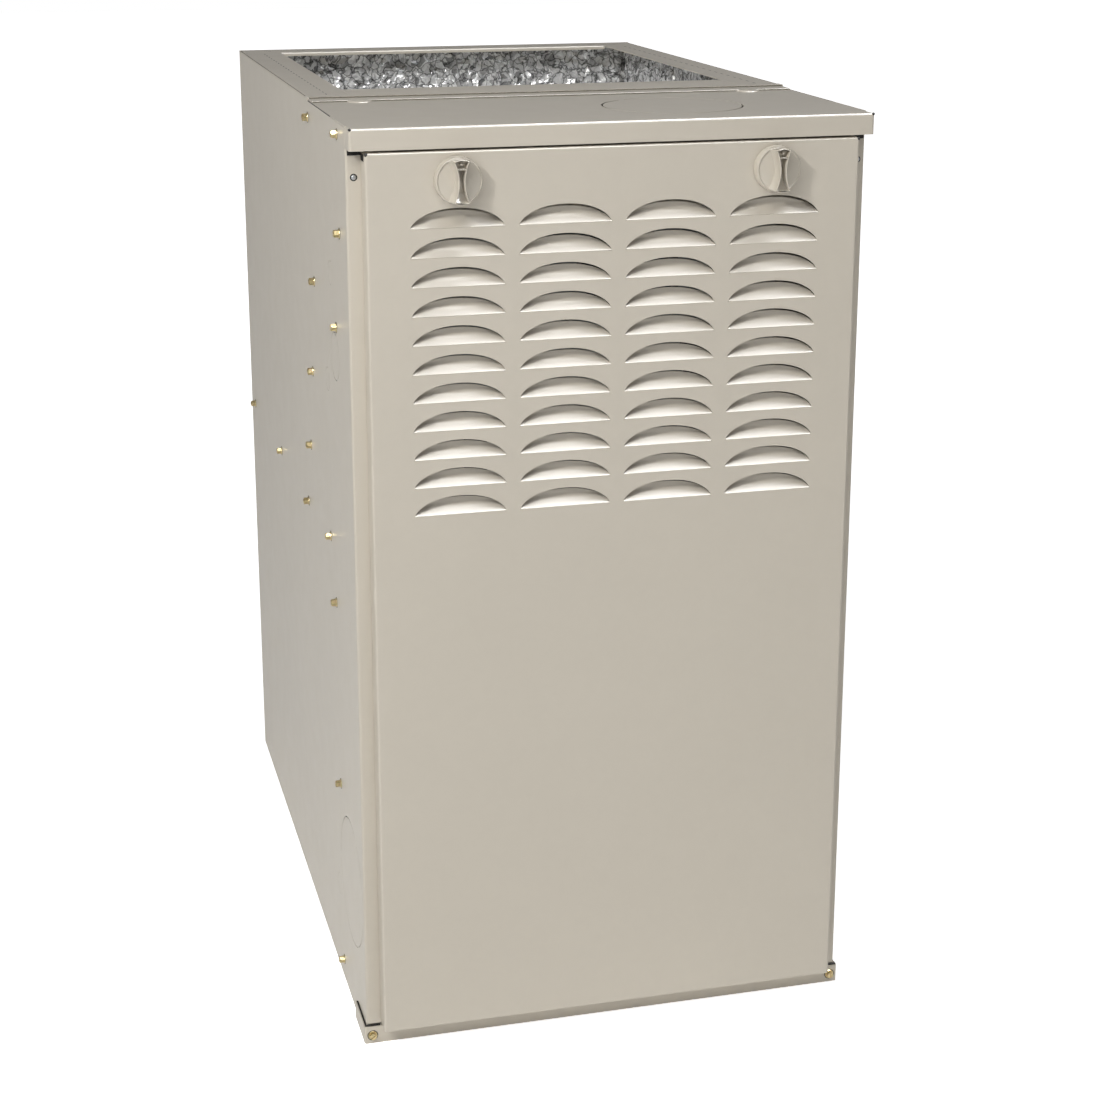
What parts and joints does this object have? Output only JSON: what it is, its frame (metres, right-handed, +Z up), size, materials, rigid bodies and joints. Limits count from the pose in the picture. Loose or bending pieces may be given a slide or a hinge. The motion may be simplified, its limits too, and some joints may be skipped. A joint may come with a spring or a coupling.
{
  "type": "forced air furnace",
  "caption": "Upright forced air gas furnace with a louvred lift-off door on two quarter-turn latches, open supply outlet on top, burners, clamshell heat exchanger and blower inside.",
  "frame": {"origin": "on the floor, under the middle of the casing", "axes": "+Z up, -Y towards the louvred door, +X to the right as seen from the door"},
  "size_m": [0.465, 0.7693, 0.846],
  "materials": {
    "beige_paint": "baked beige enamel, satin",
    "knob_plastic": "moulded beige plastic, glossy",
    "zinc_yellow": "yellow zinc plate",
    "galvanised": "galvanised steel with spangle",
    "aluminised": "aluminised steel, dull",
    "foil_face": "crinkled foil face on glass fibre",
    "cast_grey": "die-cast, bead-blasted",
    "black_paint": "black enamel",
    "black_pipe": "black iron pipe",
    "red_plastic": "moulded",
    "black_plastic": "moulded phenolic",
    "white_plastic": "moulded",
    "ceramic": "glazed ceramic",
    "hose_rubber": "silicone tube",
    "board_green": "solder-masked glass epoxy with black relays",
    "transformer_steel": "varnished laminations",
    "bright_steel": "ground shaft",
    "aluminium_can": "drawn can"
  },
  "bodies": {
    "cabinet": {"left_side_panel": "beige_paint", "right_side_panel": "beige_paint", "back_panel": "beige_paint", "front_duct_flange": "beige_paint", "top_cap": "beige_paint", "latch_header": "beige_paint", "bottom_panel": "galvanised", "bottom_rail": "beige_paint", "rail_screw_left": "zinc_yellow", "rail_screw_right": "zinc_yellow", "blower_shelf": "galvanised", "cell_panel": "aluminised", "left_liner": "foil_face", "right_liner": "foil_face", "back_liner": "foil_face", "heat_exchanger_cell_1": "aluminised", "heat_exchanger_cell_2": "aluminised", "heat_exchanger_cell_3": "aluminised", "collector_box": "aluminised", "inducer_housing": "cast_grey", "inducer_motor": "black_paint", "vent_boot": "galvanised", "burner_1": "aluminised", "burner_2": "aluminised", "burner_3": "aluminised", "burner_rack": "galvanised", "gas_manifold": "black_pipe", "gas_valve": "cast_grey", "hot_surface_ignitor": "ceramic", "flame_sensor": "ceramic", "rollout_switch": "black_plastic", "limit_switch": "black_plastic", "pressure_switch": "black_plastic", "pressure_hose": "hose_rubber", "junction_box": "galvanised", "board_bracket": "galvanised", "control_board": "board_green", "transformer": "transformer_steel", "door_safety_switch": "black_plastic", "blower_scroll": "galvanised", "blower_side_left": "galvanised", "blower_side_right": "galvanised", "blower_motor": "black_paint", "motor_mount": "galvanised", "run_capacitor": "aluminium_can"},
    "door": {"door_panel": "beige_paint", "door_stiffener": "galvanised", "door_insulation": "foil_face"},
    "left_latch": {"left_latch_knob": "knob_plastic", "left_latch_tongue": "galvanised"},
    "right_latch": {"right_latch_knob": "knob_plastic", "right_latch_tongue": "galvanised"},
    "blower_rotor": {"blower_wheel": "galvanised", "blower_shaft": "bright_steel"},
    "inducer_rotor": {"inducer_wheel": "galvanised"},
    "gas_lever": {"gas_valve_switch": "red_plastic"},
    "reset_button": {"rollout_reset_button": "red_plastic"},
    "switch_plunger": {"door_switch_plunger": "white_plastic"}
  },
  "joints": [
    {"name": "door_lift_off", "type": "slide", "parent": "cabinet", "child": "door", "axis": [0, -1, 0], "range_m": [0, 0.12]},
    {"name": "left_latch_turn", "type": "hinge", "parent": "door", "child": "left_latch", "pos_m": [-0.13995, -0.3845, 0.799], "axis": [0, 1, 0], "range_deg": [0, 90]},
    {"name": "right_latch_turn", "type": "hinge", "parent": "door", "child": "right_latch", "pos_m": [0.13995, -0.3845, 0.799], "axis": [0, 1, 0], "range_deg": [0, 90]},
    {"name": "blower_spin", "type": "hinge", "parent": "cabinet", "child": "blower_rotor", "pos_m": [0, 0.0255, 0.22], "axis": [1, 0, 0], "continuous": true},
    {"name": "inducer_spin", "type": "hinge", "parent": "cabinet", "child": "inducer_rotor", "pos_m": [0.034, -0.2326, 0.7], "axis": [0, 1, 0], "continuous": true},
    {"name": "gas_lever_turn", "type": "hinge", "parent": "cabinet", "child": "gas_lever", "pos_m": [-0.098, -0.353, 0.636], "axis": [0, 1, 0], "range_deg": [0, 60]},
    {"name": "reset_button_push", "type": "slide", "parent": "cabinet", "child": "reset_button", "axis": [0, 1, 0], "range_m": [0, 0.002], "stiffness_N_per_m": 200},
    {"name": "plunger_slide", "type": "slide", "parent": "cabinet", "child": "switch_plunger", "axis": [0, -1, 0], "range_m": [0, 0.004]}
  ],
  "couplings": [
    {"joint": "plunger_slide", "follows": "door_lift_off", "ratio": 0.033333}
  ]
}
